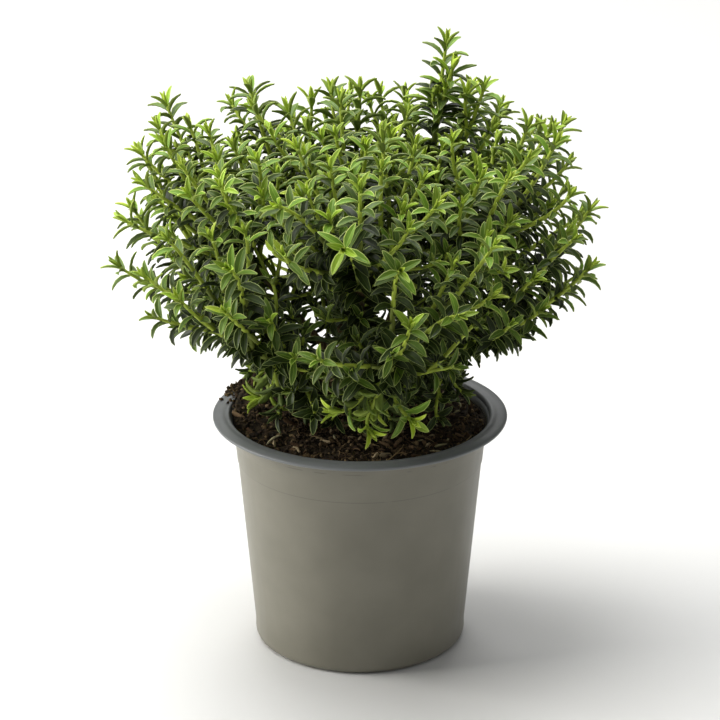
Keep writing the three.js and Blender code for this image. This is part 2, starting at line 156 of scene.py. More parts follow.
# Finer twigs, which only the finished plant has. Tips are tried over the dome. "apart" is the least
# distance between them, straight above and at the lowest tilt. "reach" is their share of the dome's
# distance, "length" the wanted length of a twig, "tilt" the lowest tilt from straight up, and "age" how
# many pairs older its leaves look. For the inner twigs that age is partly real and partly painted shade:
# their darker leaves also stand in for the shade inside the crown.
TWIGS = (
    {
        "tries": 420, "apart": (9.0, 14.5), "reach": (0.72, 0.94), "length": 34.0, "tilt": 61.0, "age": 0.0,
        "seed": 7907,
    },
    {
        "tries": 230, "apart": (10.0, 10.0), "reach": (0.4, 0.74), "length": 24.0, "tilt": 62.0, "age": 1.6,
        "seed": 6101,
    },
    {
        "tries": 110, "apart": (9.0, 9.0), "reach": (0.24, 0.58), "length": 18.0, "tilt": 84.0, "age": 2.4,
        "seed": 5113,
    },
)

# Twigs low round the main stem, whose old leaves hang over the compost. "tilt" is from straight up, and
# "reach" is the distance of their tips from where the boughs meet.
SKIRT = {
    "tries": 90,
    "tilt": (66.0, 84.0),
    "reach": (14.0, 40.0),
    "apart": 7.0,
    "length": 16.0,
    "age": 2.6,
    "seed": 8231,
}

# Finer twigs with a place of their own, which stand close round the tallest shoot or hang low in front: x, y,
# height above the compost, wanted length, and how far the end swings round from facing outward, in degrees.
SPRIGS = {
    "tips": (
        (32, 22, 123, 18, 0), (28, 19, 117, 16, 0), (37, 18, 115, 16, 0), (24, 22, 113, 14, 0),
        (19, -45, 18, 22, 60), (3, -46, 15, 18, 40), (-8, -42, 20, 16, -60), (-35, -17, 15, 16, -20),
    ),
    "apart": 4.0,
    "age": -0.9,
    "seed": 977,
}

# Leaves hold clear of these lines of sight, so that daylight shows between them from the camera's place:
# x and height above the compost, on the upright plane through the main stem, and radius.
SKY_GAPS = (
    (-29.0, 57.8, 2.9), (-34.2, 63.5, 2.2), (-30.6, 47.5, 2.0), (-25.8, 36.5, 0.9), (-14.4, 32.9, 0.9),
    (-36.7, 30.8, 2.0), (9.4, 39.1, 0.9), (-60.5, 70.0, 1.8),
)

# Painted shade: leaves low in the crown are dealt older, darker colours, standing in for the shade that falls
# there.
PAINTED_LOW_SHADE = {"below": 66.0, "fall": 16.0}  # leaves lower than this look one pair older for each such step down
BASAL = {"below": 26.0, "age": -0.7}  # shoots of the rule's own that end this low above the compost are young

VIEW = {"elevation": 20.5, "distance": 893.0, "lens": 126.0, "aim": (0.0, 0.0, 105.0)}

# Range of a shoot's vigour, which scales its leaves: of the strong shoots and of all others.
STRONG = (1.02, 1.2)
USUAL = (0.84, 1.1)

LEAF = {
    "length": 9.0,
    "width": 2.8,
    "thickness": 0.4,
    "varies": (0.9, 1.08),  # range of a leaf's own share of its length, and of its width
    "bud_length": 0.58,  # share at a shoot's tip
    "bud_width": 0.55,
    "margin": 0.2,  # width of the pale edge
    "rib": 0.11,  # half the width of the midrib's line
    "spacing": 3.6,  # between pairs on grown stretches
    "first_gaps": (0.4, 1.6, 2.7),  # above the second, third and fourth pair from the tip
    "spacing_varies": (0.88, 1.14),
    "bare_foot": 2.5,  # without leaves at the foot of a shoot
    "root_out": 0.3,  # from the middle of the shoot
    "opening": (1.7, 2.9),  # pairs from the tip to the first one that is fully open
    "root_lean": (3, 47),  # degrees from the shoot at a leaf's root: in the bud, and fully open
    "tip_lean": (16, 101),  # the same at its tip
    "lean_varies": (4, 12),
    "roll_varies": 0.16,  # radians
    "to_light": 0.45,  # share of the roll that would show the upper side to the sky
    "most_roll": 0.6,
    "keel": (0.6, 0.42),  # rise of the edges, as a share of half the width: in the bud, and fully open
    "cross_varies": 0.12,  # how far a pair strays from lying crosswise to the one before
    "age_varies": 0.35,
}


def mix(a, b, share):
    return a + (b - a) * share


def unit(vector):
    return vector / np.linalg.norm(vector, axis=-1, keepdims=True)


def seeded(seed):
    """A repeatable stream of numbers from 0 to 1."""
    state = seed

    def draw():
        nonlocal state
        state = state * 16807 % 2147483647
        return (state - 1) / 2147483646

    return draw


# ---------------------------------------------------------------- meshes and materials

def linear(hex_colour):
    """A linear colour with alpha from an sRGB hex value."""
    shares = [int(hex_colour[i:i + 2], 16) / 255 for i in (1, 3, 5)]
    return tuple(c / 12.92 if c <= 0.04045 else ((c + 0.055) / 1.055) ** 2.4 for c in shares) + (1.0,)


def add(tree, kind, sockets=None, **settings):
    """Adds a node, sets its properties, and fills each named input with a value or a link."""
    node = tree.nodes.new(kind)
    for name, value in settings.items():
        setattr(node, name, value)
    for name, value in (sockets or {}).items():
        if isinstance(value, bpy.types.NodeSocket):
            tree.links.new(value, node.inputs[name])
        else:
            node.inputs[name].default_value = value
    return node


def material(name):
    """An empty node material and its tree."""
    made = bpy.data.materials.new(name)
    made.use_nodes = True
    made.node_tree.nodes.clear()
    return made, made.node_tree


def finish_with(tree, shader):
    add(tree, "ShaderNodeOutputMaterial", {"Surface": shader.outputs[0]})


def mesh_piece(name, points, triangles, materials, kinds=None, smooth=True):
    """A mesh object from points in millimetres, triangles, and each triangle's material number."""
    mesh = bpy.data.meshes.new(name)
    mesh.vertices.add(len(points))
    mesh.vertices.foreach_set("co", (np.asarray(points) * MM).astype(np.float32).ravel())
    mesh.loops.add(3 * len(triangles))
    mesh.loops.foreach_set("vertex_index", np.asarray(triangles, np.int32).ravel())
    mesh.polygons.add(len(triangles))
    mesh.polygons.foreach_set("loop_start", np.arange(0, 3 * len(triangles), 3, dtype=np.int32))
    if kinds is not None:
        mesh.polygons.foreach_set("material_index", np.asarray(kinds, np.int32))
    mesh.polygons.foreach_set("use_smooth", np.full(len(triangles), smooth))
    mesh.update()
    mesh.validate()
    for made in materials:
        mesh.materials.append(made)
    piece = bpy.data.objects.new(name, mesh)
    bpy.context.scene.collection.objects.link(piece)
    return piece


def placed(piece, slot, *nodes):
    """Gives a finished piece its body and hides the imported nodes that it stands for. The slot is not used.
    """
    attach(piece, "root")
    if nodes:
        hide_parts(*nodes)
    return piece


def closed_triangles(rings, sides):
    """Triangles of a closed tube: its points go ring by ring, then come those at its foot and its top."""
    ring, side = np.meshgrid(np.arange(rings - 1), np.arange(sides), indexing="ij")
    a = (ring * sides + side).ravel()
    b = (ring * sides + (side + 1) % sides).ravel()
    side = np.arange(sides)
    following = (side + 1) % sides
    last = (rings - 1) * sides
    return np.concatenate([
        np.stack([a, b, b + sides], 1),
        np.stack([a, b + sides, a + sides], 1),
        np.stack([np.full(sides, rings * sides), following, side], 1),
        np.stack([np.full(sides, rings * sides + 1), side + last, following + last], 1),
    ])


def joined(parts):
    """One list of points, of triangles and of material numbers from those of many parts."""
    points, triangles, kinds = zip(*parts)
    starts = np.cumsum([0, *map(len, points)])
    moved = [some + start for some, start in zip(triangles, starts)]
    return np.concatenate(points), np.concatenate(moved), np.concatenate(kinds)


# ---------------------------------------------------------------- the crown's plan

def above_compost(x, y, height):
    return np.array([x, y, SOIL_TOP + height], float)


FOOT = above_compost(0, 0, 6)  # all masses' spaces fan out from here


class Bezier:
    """A cubic curve with four control points."""

    def __init__(self, a, b, c, d):
        self.controls = np.array([a, b, c, d], float)

    def points(self, at):
        t = np.asarray(at, float)[..., None]
        a, b, c, d = self.controls
        return a * (1 - t) ** 3 + 3 * b * t * (1 - t) ** 2 + 3 * c * t ** 2 * (1 - t) + d * t ** 3

    def tangents(self, at):
        t = np.asarray(at, float)[..., None]
        a, b, c, d = self.controls
        return unit((b - a) * (1 - t) ** 2 + 2 * (c - b) * t * (1 - t) + (d - c) * t ** 2)

    def measure(self, start):
        """Parameters along the curve from start to its end, with the length walked to each."""
        at = np.linspace(start, 1, 80)
        steps = np.linalg.norm(np.diff(self.points(at), axis=0), axis=1)
        return at, np.concatenate([[0], np.cumsum(steps)])


def direction_of(tilt, turn):
    return np.array([math.sin(tilt) * math.cos(turn), math.sin(tilt) * math.sin(turn), math.cos(tilt)])


def dome_reach(direction):
    """Distance from FOOT to the dome's surface in a direction."""
    near, far = 0.0, 2 * CROWN["half_width"]
    for _ in range(30):
        at = (near + far) / 2
        x, y, z = FOOT + direction * at
        up = z - SOIL_TOP - CROWN["widest"]
        power = CROWN["power_above"] if up > 0 else CROWN["power_below"]
        across = math.hypot(x / CROWN["half_width"], y / CROWN["half_depth"])
        height = CROWN["rise"] if up > 0 else CROWN["fall"]
        if across ** power + abs(up / height) ** power < 1:
            near = at
        else:
            far = at
    return near


def plan_mass(ring, i):
    """One foliage mass: its axis, its leader's tip and the curve that runs from the main stem to that tip."""
    name, count, tilt, turn, fork_from, fork_to = ring
    axis = direction_of(math.radians(tilt), math.radians(turn + 360 * i / count))
    tip = FOOT + axis * dome_reach(axis) * SHOOT["reach"][1]
    fork = fork_to if i % 2 else fork_from
    is_top = fork >= TRUNK["height"]
    outward = unit(np.array([axis[0], axis[1], 0.0]))
    lean = np.array([*TRUNK["lean"], TRUNK["height"]]) * min(1, fork / TRUNK["height"])
    start = above_compost(0, 0, GAP) + lean + outward * BOUGH["start_out"][is_top]
    if is_top:
        start[2] += GAP
    span = np.linalg.norm(tip - start)
    leave = unit(axis + UP * (0.8 if is_top else 0.2))
    arrive = unit(axis + UP * 0.4)
    line = Bezier(start, start + leave * span / 3, tip - arrive * span / 3, tip)
    return {
        "name": f"{name}_{i + 1}",
        "axis": axis,
        "tip": tip,
        "line": line,
        "tips": [],
        "turns": [],
        "shoots": [],
    }


def nearest_mass(masses, direction):
    return max(masses, key=lambda mass: float(direction @ mass["axis"]))


def deal_tip(masses, tip, apart, turn_up=None):
    """Gives a tip to the mass in whose space it lies and returns the mass, or None where it would crowd."""
    mass = nearest_mass(masses, unit(tip - FOOT))
    tip = tip.copy()
    for face in mass["faces"]:
        depth = (tip - FOOT) @ face
        if depth < SHOOT["clear_of_face"]:
            tip += face * (SHOOT["clear_of_face"] - depth)
    others = np.array([mass["tip"], *mass["tips"]])
    if np.linalg.norm(others - tip, axis=1).min() <= apart:
        return None
    mass["tips"].append(tip)
    mass["turns"].append(turn_up)
    return mass


def in_hollow(tip):
    """Whether a tip lies in the open part of the crown's front."""
    off = (tip - above_compost(*HOLLOW["middle"])) / HOLLOW["half"]
    return float(off @ off) < 1


def dome_tips(count, reach, lowest_tilt, random):
    """Tips spread evenly over the dome by the golden angle, each at a seeded share of the dome's distance."""
    for i in range(count):
        rise = mix(1, -0.5, (i + 0.5) / count)
        across = math.sqrt(1 - rise * rise)
        height = rise * (CROWN["rise"] if rise > 0 else CROWN["fall"])
        on_dome = np.array([
            across * math.cos(i * GOLDEN) * CROWN["half_width"],
            across * math.sin(i * GOLDEN) * CROWN["half_depth"],
            SOIL_TOP + CROWN["widest"] + height,
        ])
        direction = unit(on_dome - FOOT)
        if direction[2] < math.cos(math.radians(lowest_tilt)):
            continue
        tip = FOOT + direction * dome_reach(direction) * mix(*reach, random())
        if not in_hollow(tip):
            yield tip


def skirt_tips(random):
    """Tips low round the main stem, where old leaves hang over the compost."""
    for i in range(SKIRT["tries"]):
        tilt = math.radians(mix(*SKIRT["tilt"], random()))
        yield FOOT + direction_of(tilt, i * GOLDEN) * mix(*SKIRT["reach"], random())


def side_shoot(mass, tip, turn_up, random):
    """A side shoot leaves the mass's stem low for a far tip, high for a near one, and ends facing outward."""
    away = math.acos(min(1, float(unit(tip - FOOT) @ mass["axis"])))
    past = mix(*SHOOT["leaves_at"], min(1, away / SHOOT["far"])) + SHOOT["scatter"] * (random() - 0.5)
    leave_at = BOUGH["share"] + past
    start = mass["line"].points(leave_at)
    span = np.linalg.norm(tip - start)
    straight = (tip - start) / span
    leave = unit(mass["line"].tangents(leave_at) * 0.5 + straight * 0.5)
    if turn_up is None:
        turn_up = mix(*SHOOT["turn_up"], random())
    arrive = unit(straight * 0.5 + unit(tip - FOOT) * 0.5 + UP * turn_up)
    return Bezier(start, start + leave * span / 3, tip - arrive * span / 3, tip)


def fine_twig(mass, tip, length, random, swing=0.0):
    """A finer twig leaves the shoot, and the place on it, that suit its length and bend it the least."""
    best = None
    for shoot in mass["shoots"]:
        at = np.linspace(mix(shoot["from"], 1, TWIG_FEET[0]), TWIG_FEET[1], 14)
        feet = shoot["curve"].points(at)
        spans = np.linalg.norm(tip - feet, axis=1)
        bends = np.arccos(np.clip((shoot["curve"].tangents(at) * unit(tip - feet)).sum(1), -1, 1))
        costs = np.abs(spans - length) + BEND_COST * bends
        i = int(costs.argmin())
        if best is None or costs[i] < best[0]:
            best = (costs[i], feet[i], shoot["curve"].tangents(at[i]), spans[i])
    _, start, along, span = best
    straight = (tip - start) / span
    leave = unit(along * 0.35 + straight * 0.65)
    x, y, z = unit(tip - FOOT)
    turn = math.radians(swing)
    out = np.array([x * math.cos(turn) - y * math.sin(turn), x * math.sin(turn) + y * math.cos(turn), z])
    arrive = unit(straight * 0.4 + out * 0.6 + UP * mix(-0.15, 0.25, random()))
    return Bezier(start, start + leave * span / 3, tip - arrive * span / 3, tip)


def add_shoot(mass, curve, age, vigour, start=0.0):
    """Notes a shoot of a mass: its curve, how far ahead in age its leaves are, and its vigour."""
    mass["shoots"].append({"curve": curve, "from": start, "age": age, "vigour": vigour})


def own_shoots(masses):
    """The shoots of the rule itself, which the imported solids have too."""
    for x, y, height, turn_up in SPIKES:
        deal_tip(masses, above_compost(x, y, height), SHOOT["apart"], turn_up)
    for tip in dome_tips(SHOOT["tips"], SHOOT["reach"], CROWN["lowest_tilt"], seeded(4021)):
        deal_tip(masses, tip, SHOOT["apart"])
    for number, mass in enumerate(masses):
        random = seeded(101 + 37 * number)
        add_shoot(mass, mass["line"], 0.0, STRONG, BOUGH["share"])
        for tip, turn_up in zip(mass["tips"], mass["turns"]):
            age = BASAL["age"] if tip[2] < SOIL_TOP + BASAL["below"] else 0.0
            add_shoot(mass, side_shoot(mass, tip, turn_up, random), age, USUAL if turn_up is None else STRONG)


def finer_twigs(masses):
    """The finer twigs: over the dome, then those with a place of their own, then the skirt."""
    for twigs in TWIGS:
        random = seeded(twigs["seed"] + 1)
        for tip in dome_tips(twigs["tries"], twigs["reach"], twigs["tilt"], seeded(twigs["seed"])):
            share = (1 - unit(tip - FOOT)[2]) / (1 - math.cos(math.radians(twigs["tilt"])))
            mass = deal_tip(masses, tip, mix(*twigs["apart"], share))
            if mass:
                curve = fine_twig(mass, mass["tips"][-1], twigs["length"], random)
                add_shoot(mass, curve, twigs["age"], USUAL)
    random = seeded(SPRIGS["seed"])
    for x, y, height, length, swing in SPRIGS["tips"]:
        mass = deal_tip(masses, above_compost(x, y, height), SPRIGS["apart"])
        if mass:
            add_shoot(mass, fine_twig(mass, mass["tips"][-1], length, random, swing), SPRIGS["age"], STRONG)
    random = seeded(SKIRT["seed"])
    for tip in skirt_tips(random):
        mass = deal_tip(masses, tip, SKIRT["apart"])
        if mass:
            add_shoot(mass, fine_twig(mass, mass["tips"][-1], SKIRT["length"], random), SKIRT["age"], USUAL)


def plan_crown():
    """All masses with their shoots."""
    masses = [plan_mass(ring, i) for ring in RINGS for i in range(ring[1])]
    for mass in masses:
        mass["faces"] = [unit(mass["axis"] - other["axis"]) for other in masses if other is not mass]
    own_shoots(masses)
    finer_twigs(masses)
    return masses


# ---------------------------------------------------------------- leaves

CLEAR = {"compost": 1.0, "lip": 0.3, "beside_lip": 0.5}  # room that leaves keep

# Along a leaf: shares of its length at which its rings lie. Across: points on its upper side and underneath.
LEAF_RINGS = np.array([0.0, 0.14, 0.36, 0.62, 0.84, 0.97])
LEAF_TOP = 6
LEAF_UNDER = 1
BEND_STEPS = 50
AGES = ("bud", "young", "half", "grown", "old")
AGE_MARKS = np.array([0.5, 1.5, 3.2, 5.5])  # pairs from the tip at which each age after the first begins


def leaf_outline(share):
    """Half the width of a leaf at a share of its length, as a share of its greatest half width."""
    return 0.16 * (1 - share) ** 3 + np.sin(math.pi * share ** 0.96) ** (0.85 - 0.15 * share)


def leaf_points(leaf):
    """Points of all leaves at once: rings from root to tip, then the root's and the tip's own points."""
    steps = np.linspace(0, 1, BEND_STEPS + 1)
    bend = np.radians(mix(leaf["lean_from"][:, None], leaf["lean_to"][:, None], steps))
    start = np.zeros((len(bend), 1))
    ahead = np.concatenate([start, np.cumsum(np.cos(bend[:, 1:]), 1) / BEND_STEPS], 1)
    aside = np.concatenate([start, np.cumsum(np.sin(bend[:, 1:]), 1) / BEND_STEPS], 1)
    line = leaf["root"][:, None] + leaf["length"][:, None, None] * (
        ahead[..., None] * leaf["along"][:, None] + aside[..., None] * leaf["side"][:, None])
    spots = np.round(LEAF_RINGS * BEND_STEPS).astype(int)
    lean = bend[:, spots, None]
    blade = np.cross(leaf["along"], leaf["side"])[:, None]
    upper = np.sin(lean) * leaf["along"][:, None] - np.cos(lean) * leaf["side"][:, None]
    roll = leaf["roll"][:, None, None]
    blade, upper = blade * np.cos(roll) + upper * np.sin(roll), upper * np.cos(roll) - blade * np.sin(roll)
    half = leaf["width"][:, None] / 2 * leaf_outline(LEAF_RINGS)
    margin = np.clip(1 - LEAF["margin"] / half, 0.4, 0.93)
    rib = np.clip(LEAF["rib"] / half, 0.02, 0.25)
    one = np.ones_like(half)
    across = np.stack([-one, -margin, -rib, rib, margin, one, 0 * one], 2)
    lift = leaf["keel"][:, None, None] * np.abs(across) ** 1.4 * half[..., None]
    lift[..., LEAF_TOP] = -LEAF["thickness"]
    rings = line[:, spots, None] + (across * half[..., None])[..., None] * blade[:, :, None]
    rings += lift[..., None] * upper[:, :, None]
    return np.concatenate([rings.reshape(len(line), -1, 3), line[:, :1], line[:, -1:]], 1)


def leaf_triangles():
    """Triangles of one leaf and the kind of each: 0 blade, 1 margin, 2 underside, 3 midrib."""
    sides = LEAF_TOP + LEAF_UNDER
    rings = len(LEAF_RINGS)
    strip = np.tile(np.arange(sides), 2 * rings)
    is_margin = (strip == 0) | (strip == LEAF_TOP - 2)
    kinds = np.select([strip >= LEAF_TOP - 1, is_margin, strip == 2], [2, 1, 3], 0)
    return closed_triangles(rings, sides)[:, ::-1], kinds


def place_pairs(shoot, draws):
    """Sets where the leaf pairs of a shoot sit: distances down from its tip."""
    _, walked = shoot["curve"].measure(shoot["from"])
    down, stops = 0.0, []
    while down < walked[-1] - LEAF["bare_foot"]:
        stops.append(down)
        gaps = LEAF["first_gaps"]
        gap = gaps[len(stops) - 1] if len(stops) <= len(gaps) else LEAF["spacing"]
        down += gap * draws.uniform(*LEAF["spacing_varies"])
    shoot["stops"] = np.array(stops)


def shoot_leaves(shoot, draws):
    """The leaves of a shoot: crosswise pairs that open and arch more with each pair down from the tip."""
    at, walked = shoot["curve"].measure(shoot["from"])
    places = np.interp(walked[-1] - shoot["stops"], walked, at)
    centres = shoot["curve"].points(places)
    alongs = shoot["curve"].tangents(places)
    side = unit(draws.normal(size=3))
    vigour = draws.uniform(*shoot["vigour"])
    opening = draws.uniform(*LEAF["opening"])
    size = LEAF["varies"]
    root_varies, tip_varies = LEAF["lean_varies"]
    rows = []
    for number, (centre, along) in enumerate(zip(centres, alongs)):
        side = unit(side - along * (side @ along))
        grown = min(1.0, number / opening)
        for way in (1, -1):
            rows.append({
                "root": centre + side * way * LEAF["root_out"],
                "along": along,
                "side": side * way,
                "number": number + shoot["age"] + painted_shade_age(centre, shoot),
                "grown": grown,
                "length": LEAF["length"] * vigour * mix(LEAF["bud_length"], 1, grown) * draws.uniform(*size),
                "width": LEAF["width"] * vigour * mix(LEAF["bud_width"], 1, grown) * draws.uniform(*size),
                "lean_from": mix(*LEAF["root_lean"], grown) + draws.normal(0, root_varies) * grown,
                "lean_to": mix(*LEAF["tip_lean"], grown) + draws.normal(0, tip_varies) * grown,
                "roll": draws.normal(0, LEAF["roll_varies"]) * grown,
                "keel": mix(*LEAF["keel"], grown),
            })
        side = unit(np.cross(along, side) + draws.normal(0, LEAF["cross_varies"], 3))
    return rows


def painted_shade_age(point, shoot):
    """How much older a leaf looks for growing low in the crown: painted shade, older and darker leaf colours
    standing in for the shade that falls there.
    """
    if shoot["age"] < 0:
        return 0.0
    return max(0.0, (PAINTED_LOW_SHADE["below"] - (point[2] - SOIL_TOP)) / PAINTED_LOW_SHADE["fall"])


def lean_to_light(leaf):
    """Rolls each leaf part of the way towards showing its upper side to the sky."""
    middle = np.radians(leaf["lean_from"] + leaf["lean_to"]) / 2
    blade = np.cross(leaf["along"], leaf["side"])
    upper = np.sin(middle)[:, None] * leaf["along"] - np.cos(middle)[:, None] * leaf["side"]
    wanted = np.arctan2(blade[:, 2], np.abs(upper[:, 2]) + 0.25)
    turned_by = np.clip(wanted * LEAF["to_light"], -LEAF["most_roll"], LEAF["most_roll"])
    leaf["roll"] = leaf["roll"] - turned_by * leaf["grown"]


def leaf_age(number, draws):
    """The age class of a leaf from its pair's number, counted from the tip."""
    return int((number + draws.normal(0, LEAF["age_varies"]) > AGE_MARKS).sum())


def cuticle(name, colour, roughness, sheen):
    """Leaf surface: a waxy cuticle over green tissue, with a soft, cool shine. One colour to each."""
    made, tree = material(name)
    shader = add(tree, "ShaderNodeBsdfPrincipled", {
        "Base Color": linear(colour),
        "Roughness": roughness,
        "IOR": 1.45,
        "Specular IOR Level": sheen,
    })
    finish_with(tree, shader)
    return made


# Colours of the blade, of its pale margin, of its underside and of its midrib, from bud to old leaf.
LEAF_COLOURS = {
    "bud": ("#adc43b", "#c8d66b", "#a2b842", "#b8cb57"),
    "young": ("#86a52d", "#b5ca5f", "#93a93f", "#a1b947"),
    "half": ("#5e7d24", "#a8b75e", "#889a47", "#7e9a3c"),
    "grown": ("#405618", "#96a25a", "#70833c", "#5c7129"),
    "old": ("#24300f", "#78844e", "#445129", "#364518"),
}
# Two shades of each age, as factors of those colours.
SHADES = {
    "bud": (1.04, 0.94),
    "young": (1.06, 0.9),
    "half": (1.1, 0.9),
    "grown": (1.14, 0.9),
    "old": (1.2, 0.9),
}


def shaded(hex_colour, factor):
    """A hex colour made lighter or darker."""
    return "#" + "".join(f"{min(255, round(int(hex_colour[i:i + 2], 16) * factor)):02x}" for i in (1, 3, 5))


def leaf_materials():
    """All leaf materials, and the number of the first of the four for each age and shade."""
    made, first = [], {}
    for age in AGES:
        for n, factor in enumerate(SHADES[age]):
            first[age, n] = len(made)
            for part, colour in zip(("blade", "margin", "underside", "midrib"), LEAF_COLOURS[age]):
                roughness = 0.6 if part == "underside" else 0.46
                sheen = 0.18 if part == "underside" else 0.3
                made.append(cuticle(f"leaf_{age}_{part}_{n + 1}", shaded(colour, factor), roughness, sheen))
    return made, first


def clears_pot(points):
    """For each leaf, whether it keeps above the compost and the pot's lip."""
    x, y, z = points[..., 0], points[..., 1], points[..., 2]
    r = np.hypot(x, y)
    over_compost = SOIL_TOP + CLEAR["compost"] + heap_height(x, y)
    over_lip = np.where(r < POT["rim_radius"] + CLEAR["beside_lip"], POT["height"] + CLEAR["lip"], 0)
    floor = np.where(r < POT["rim_radius"] - POT["rim_width"] - CLEAR["beside_lip"], over_compost, over_lip)
    return (z > floor).all(1)


def clears_sky(points):
    """For each leaf, whether it keeps clear of the lines of sight that stay open."""
    eye = eye_point()
    share = -eye[1] / (points[..., 1] - eye[1])
    x = eye[0] + (points[..., 0] - eye[0]) * share
    z = eye[2] + (points[..., 2] - eye[2]) * share
    clear = np.ones(len(points), bool)
    for gap_x, gap_height, radius in SKY_GAPS:
        clear &= (np.hypot(x - gap_x, z - SOIL_TOP - gap_height) > radius).all(1)
    return clear


def leaves_piece(mass, number, materials, first):
    """All leaves of a mass in one mesh."""
    draws = np.random.default_rng(500 + number)
    rows = []
    for shoot in mass["shoots"]:
        place_pairs(shoot, draws)
        rows += shoot_leaves(shoot, draws)
    leaf = {key: np.array([row[key] for row in rows]) for key in rows[0]}
    lean_to_light(leaf)
    points = leaf_points(leaf)
    clear = clears_pot(points) & clears_sky(points)
    points, numbers = points[clear], leaf["number"][clear]
    triangles, kinds = leaf_triangles()
    count, each = points.shape[:2]
    shade = draws.integers(0, 2, count)
    starts = np.array([first[AGES[leaf_age(n, draws)], k] for n, k in zip(numbers, shade)])
    all_triangles = (triangles[None] + (np.arange(count) * each)[:, None, None]).reshape(-1, 3)
    all_kinds = (starts[:, None] + kinds[None]).ravel()
    piece = mesh_piece(f"leaves_{mass['name']}", points.reshape(-1, 3), all_triangles, materials, all_kinds)
    return placed(piece, "foliage", f"foliage_{mass['name']}")


# ---------------------------------------------------------------- twigs, boughs and main stem

def tube(centres, tangents, radii, sides):
    """Points and triangles of a closed tube through centres, with a point at each end."""
    side = unit(np.cross(tangents[0], ASIDE))
    turns = 2 * math.pi * np.arange(sides) / sides
    points = []
    for centre, along, radius in zip(centres, tangents, radii):
        side = unit(side - along * (side @ along))
        other = np.cross(along, side)
        points.append(centre + radius * (np.cos(turns)[:, None] * side + np.sin(turns)[:, None] * other))
    points = np.concatenate([*points, centres[:1], centres[-1:] + tangents[-1:] * radii[-1]])
    return points, closed_triangles(len(centres), sides)


def twig_radius(down):
    """Radius of a twig at a distance down from its tip."""
    return np.minimum(SHOOT["radius_at_tip"] + SHOOT["thickening"] * down, SHOOT["thickest"])


def twigs_piece(mass, materials):
    """All shoots of a mass in one mesh: green near the tips, olive further down, brown at the foot."""
    parts = []
    for shoot in mass["shoots"]:
        at, walked = shoot["curve"].measure(shoot["from"])
        length = walked[-1]
        spots = np.linspace(0, length, max(4, round(length / SHOOT["step"])))
        places = np.interp(spots, walked, at)
        down = length - spots
        nodes = np.exp(-((down[:, None] - shoot["stops"]) / SHOOT["node_length"]) ** 2).sum(1)
        radii = twig_radius(down) * (1 + SHOOT["node_swelling"] * nodes)
        curve = shoot["curve"]
        some, wall = tube(curve.points(places), curve.tangents(places), radii, SHOOT["sides"])
        rings = np.minimum(wall.min(1) // SHOOT["sides"], len(spots) - 1)
        parts.append((some, wall, np.digitize(down[rings], SHOOT["skins"])))
    points, triangles, kinds = joined(parts)
    piece = mesh_piece(f"twigs_{mass['name']}", points, triangles, materials, kinds)
    return placed(piece, "stem", f"foliage_{mass['name']}")


BARK_GRAIN = np.array([1.1, 1.1, 0.35])  # fissures for each millimetre, across and along a limb


def bark_relief(points, centres, depth):
    """Moves points out from their centres by a noise stretched along the limb, as bark fissures run."""
    moved = points.copy()
    for i, (point, centre) in enumerate(zip(points, centres)):
        grain = Vector(point * BARK_GRAIN)
        out = noise.noise(grain) + 0.5 * noise.noise(grain * 2.3)
        moved[i] = point + (point - centre) * depth * out
    return moved


def bough_piece(mass, bark):
    """One bough from inside the main stem to where its mass begins."""
    places = np.linspace(0, BOUGH["share"] + 0.01, BOUGH["rings"])
    radii = mix(BOUGH["start_radius"], BOUGH["end_radius"], np.linspace(0, 1, BOUGH["rings"]))
    centres = mass["line"].points(places)
    points, triangles = tube(centres, mass["line"].tangents(places), radii, BOUGH["sides"])
    around = np.concatenate([np.repeat(centres, BOUGH["sides"], 0), centres[:1], centres[-1:]])
    rough = bark_relief(points, around, BOUGH["relief"])
    piece = mesh_piece(f"bark_{mass['name']}", rough, triangles, [bark])
    return placed(piece, "stem", f"bough_{mass['name']}")


def main_stem_piece(bark):
    """The short main stem with its root flare, from the compost to the fork."""
    share = np.linspace(0, 1, TRUNK["rings"])
    centres = above_compost(0, 0, GAP) + share[:, None] * np.array([*TRUNK["lean"], TRUNK["height"]])
    flare = np.maximum(0, 1 - share / TRUNK["flare"]) ** 2 * (TRUNK["base_radius"] - TRUNK["neck_radius"])
    radii = mix(TRUNK["neck_radius"], TRUNK["top_radius"], share) + flare
    points, triangles = tube(centres, np.tile(UP, (TRUNK["rings"], 1)), radii, TRUNK["sides"])
    around = np.concatenate([np.repeat(centres, TRUNK["sides"], 0), centres[:1], centres[-1:]])
    rough = bark_relief(points, around, TRUNK["relief"])
    piece = mesh_piece("bark_main_stem", rough, triangles, [bark])
    return placed(piece, "stem", "main_stem")


def young_bark(name, colour):
    """Skin of a young shoot: smooth green to olive tissue, hardly any gloss."""
    made, tree = material(name)
    shader = add(tree, "ShaderNodeBsdfPrincipled", {
        "Base Color": linear(colour), "Roughness": 0.55, "Specular IOR Level": 0.35,
    })
    finish_with(tree, shader)
    return made


def old_bark():
    """Old bark: thin, grey-brown and finely fissured along the limb, quite matt."""
    made, tree = material("old_bark")
    place = add(tree, "ShaderNodeTexCoord")
    grain = add(tree, "ShaderNodeMapping", {"Vector": place.outputs["Object"], "Scale": (1, 1, 0.3)})
    streaks = add(tree, "ShaderNodeTexNoise", {
        "Vector": grain.outputs[0], "Scale": 1 / (1.2 * MM), "Detail": 5.0, "Roughness": 0.6,
    })
    colours = add(tree, "ShaderNodeValToRGB", {"Fac": streaks.outputs["Fac"]})
    colours.color_ramp.elements[0].position, colours.color_ramp.elements[0].color = 0.35, linear("#3d2f20")
    colours.color_ramp.elements[1].position, colours.color_ramp.elements[1].color = 0.68, linear("#86754f")
    relief = add(tree, "ShaderNodeBump", {
        "Height": streaks.outputs["Fac"], "Strength": 0.5, "Distance": 0.25 * MM,
    })
    shader = add(tree, "ShaderNodeBsdfPrincipled", {
        "Base Color": colours.outputs["Color"], "Roughness": 0.85, "Specular IOR Level": 0.2,
        "Normal": relief.outputs["Normal"],
    })
    finish_with(tree, shader)
    return made


# ---------------------------------------------------------------- pot

